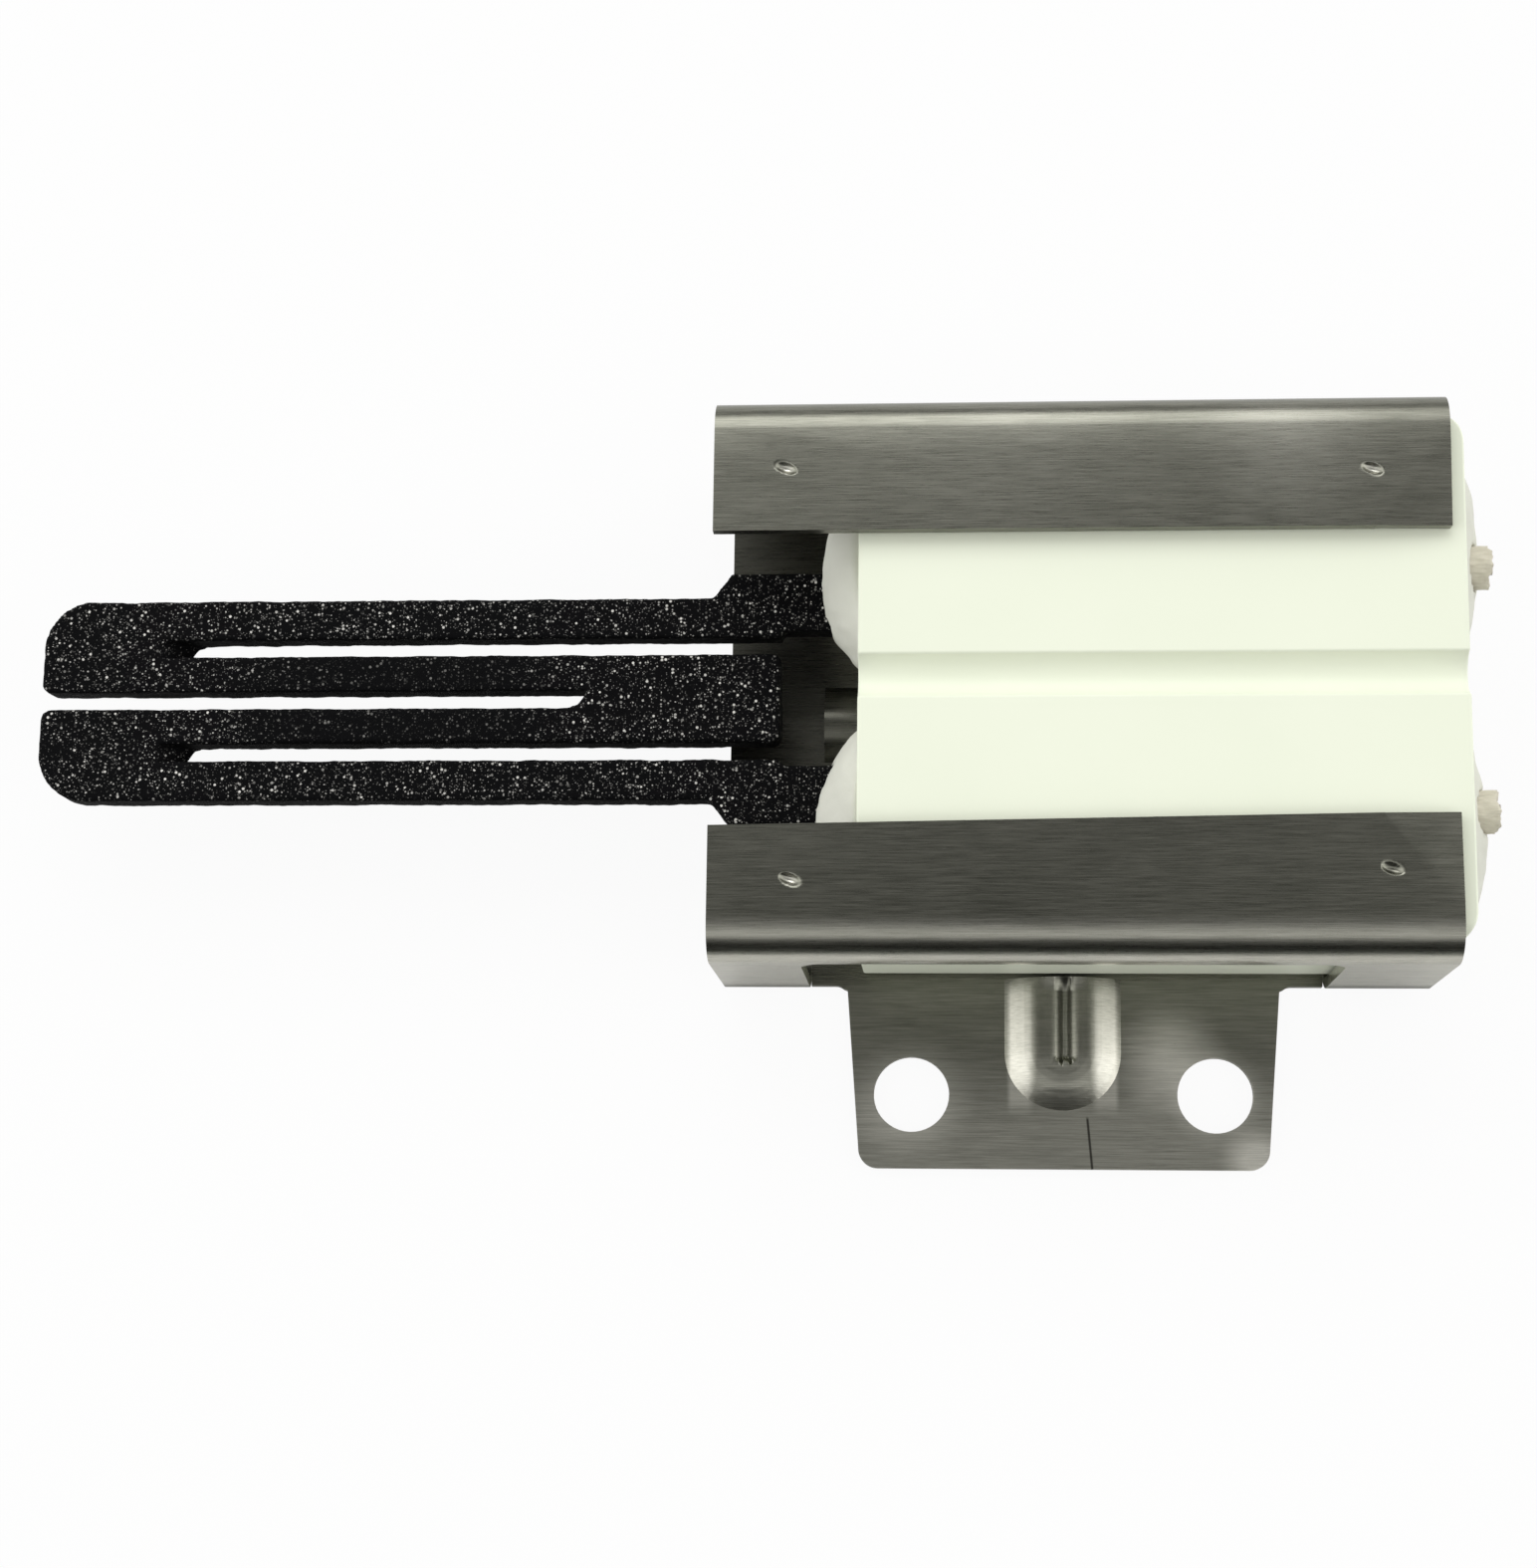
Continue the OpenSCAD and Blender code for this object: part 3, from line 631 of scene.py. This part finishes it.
def sleeve_shell(name, axis_y, axis_z, x_from, x_to, outer, inner, draw):
    """A woven tube. Its section is a closed loop, out along the outside and back along the bore;
    two families of strands cross on the outside, and the cut end is uneven."""
    around = 72
    along = 120
    turn = np.arange(around) * 2 * math.pi / around
    ragged = 0.1 * np.sin(3 * turn + draw) + 0.06 * np.sin(7 * turn + 2 * draw)
    ragged += 0.04 * np.sin(17 * turn + 3 * draw)
    s_out = np.linspace(0, 1, along)[:, None]
    s_in = np.linspace(1, 0, 12)[:, None]
    end = x_to - 0.2 + ragged[None, :]
    x_out = x_from + (end - x_from) * s_out
    x_in = x_from + (end - x_from) * s_in
    weave = np.maximum(np.sin(9 * turn + 4.2 * x_out), np.sin(9 * turn - 4.2 * x_out))
    r_out = outer - 0.045 + 0.035 * weave
    r_in = inner + 0.03 + 0 * x_in
    x = np.concatenate([x_out, x_in])
    r = np.concatenate([r_out, r_in])
    loops = len(x)
    points = np.stack([x, axis_y + r * np.cos(turn), axis_z + r * np.sin(turn)], axis=2)
    row = np.arange(loops)[:, None] * around
    next_row = (np.arange(loops)[:, None] + 1) % loops * around
    column = np.arange(around)[None, :]
    next_column = (column + 1) % around
    faces = np.stack([row + column, row + next_column, next_row + next_column,
                      next_row + column], axis=2).reshape(-1, 4)
    made = mesh_object(name, points.reshape(-1, 3), faces[:, ::-1].tolist())
    made.data.shade_smooth()
    return made


for index, side in enumerate(["near", "far"]):
    draw = np.random.default_rng(50 + index)
    wire_low, wire_high = (np.array(corner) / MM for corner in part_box(side + "_lead_wire"))
    sleeve_low, sleeve_high = (np.array(corner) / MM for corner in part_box(side + "_lead_sleeve"))
    centre = (wire_low + wire_high) / 2
    wire_r = (wire_high[2] - wire_low[2]) / 2
    strand_r = wire_r / 3
    paths = []
    radii = []
    for strand in range(7):
        x = np.linspace(wire_low[0], wire_high[0] - draw.uniform(0, 0.5), 60)
        angle = strand * math.pi / 3 + 0.12 * (x - wire_low[0])
        lay = 2 * strand_r * (strand < 6)
        paths.append(np.stack([x, centre[1] + lay * np.cos(angle), centre[2] + lay * np.sin(angle)],
                              axis=1))
        radii.append(strand_r * 0.98)
    wire = bars(side + "_strands", paths, radii)
    finished(wire, wire_look, "lead_wire", side + "_lead_wire")
    sleeve = sleeve_shell(side + "_braid", centre[1], centre[2], sleeve_low[0], sleeve_high[0],
                          (sleeve_high[2] - sleeve_low[2]) / 2, wire_r, 1.3 + 2.1 * index)
    finished(sleeve, sleeve_look, "glass_sleeve", side + "_lead_sleeve")


# ---- Camera ----
# Almost straight above the part, a little to the near side, as on a copy stand.

tilt = Matrix.Rotation(0.164762403, 3, "X")
tilt = tilt @ Matrix.Rotation(0.0613367686, 3, "Y") @ Matrix.Rotation(0.000710922946, 3, "Z")
camera_data = bpy.data.cameras.new("camera")
camera_data.sensor_fit = "HORIZONTAL"
camera_data.sensor_width = 36
camera_data.lens = 59.72337
camera_data.shift_x = -0.031476036
camera_data.shift_y = 0.087407383
camera_data.clip_start = 0.001
camera = bpy.data.objects.new("camera", camera_data)
bpy.context.scene.collection.objects.link(camera)
stand = Vector((-5.61732, -15.46168, 161.22728)) * MM
camera.matrix_world = Matrix.Translation(stand) @ tilt.to_4x4()
bpy.context.scene.camera = camera
bpy.context.scene.view_settings.view_transform = "Standard"
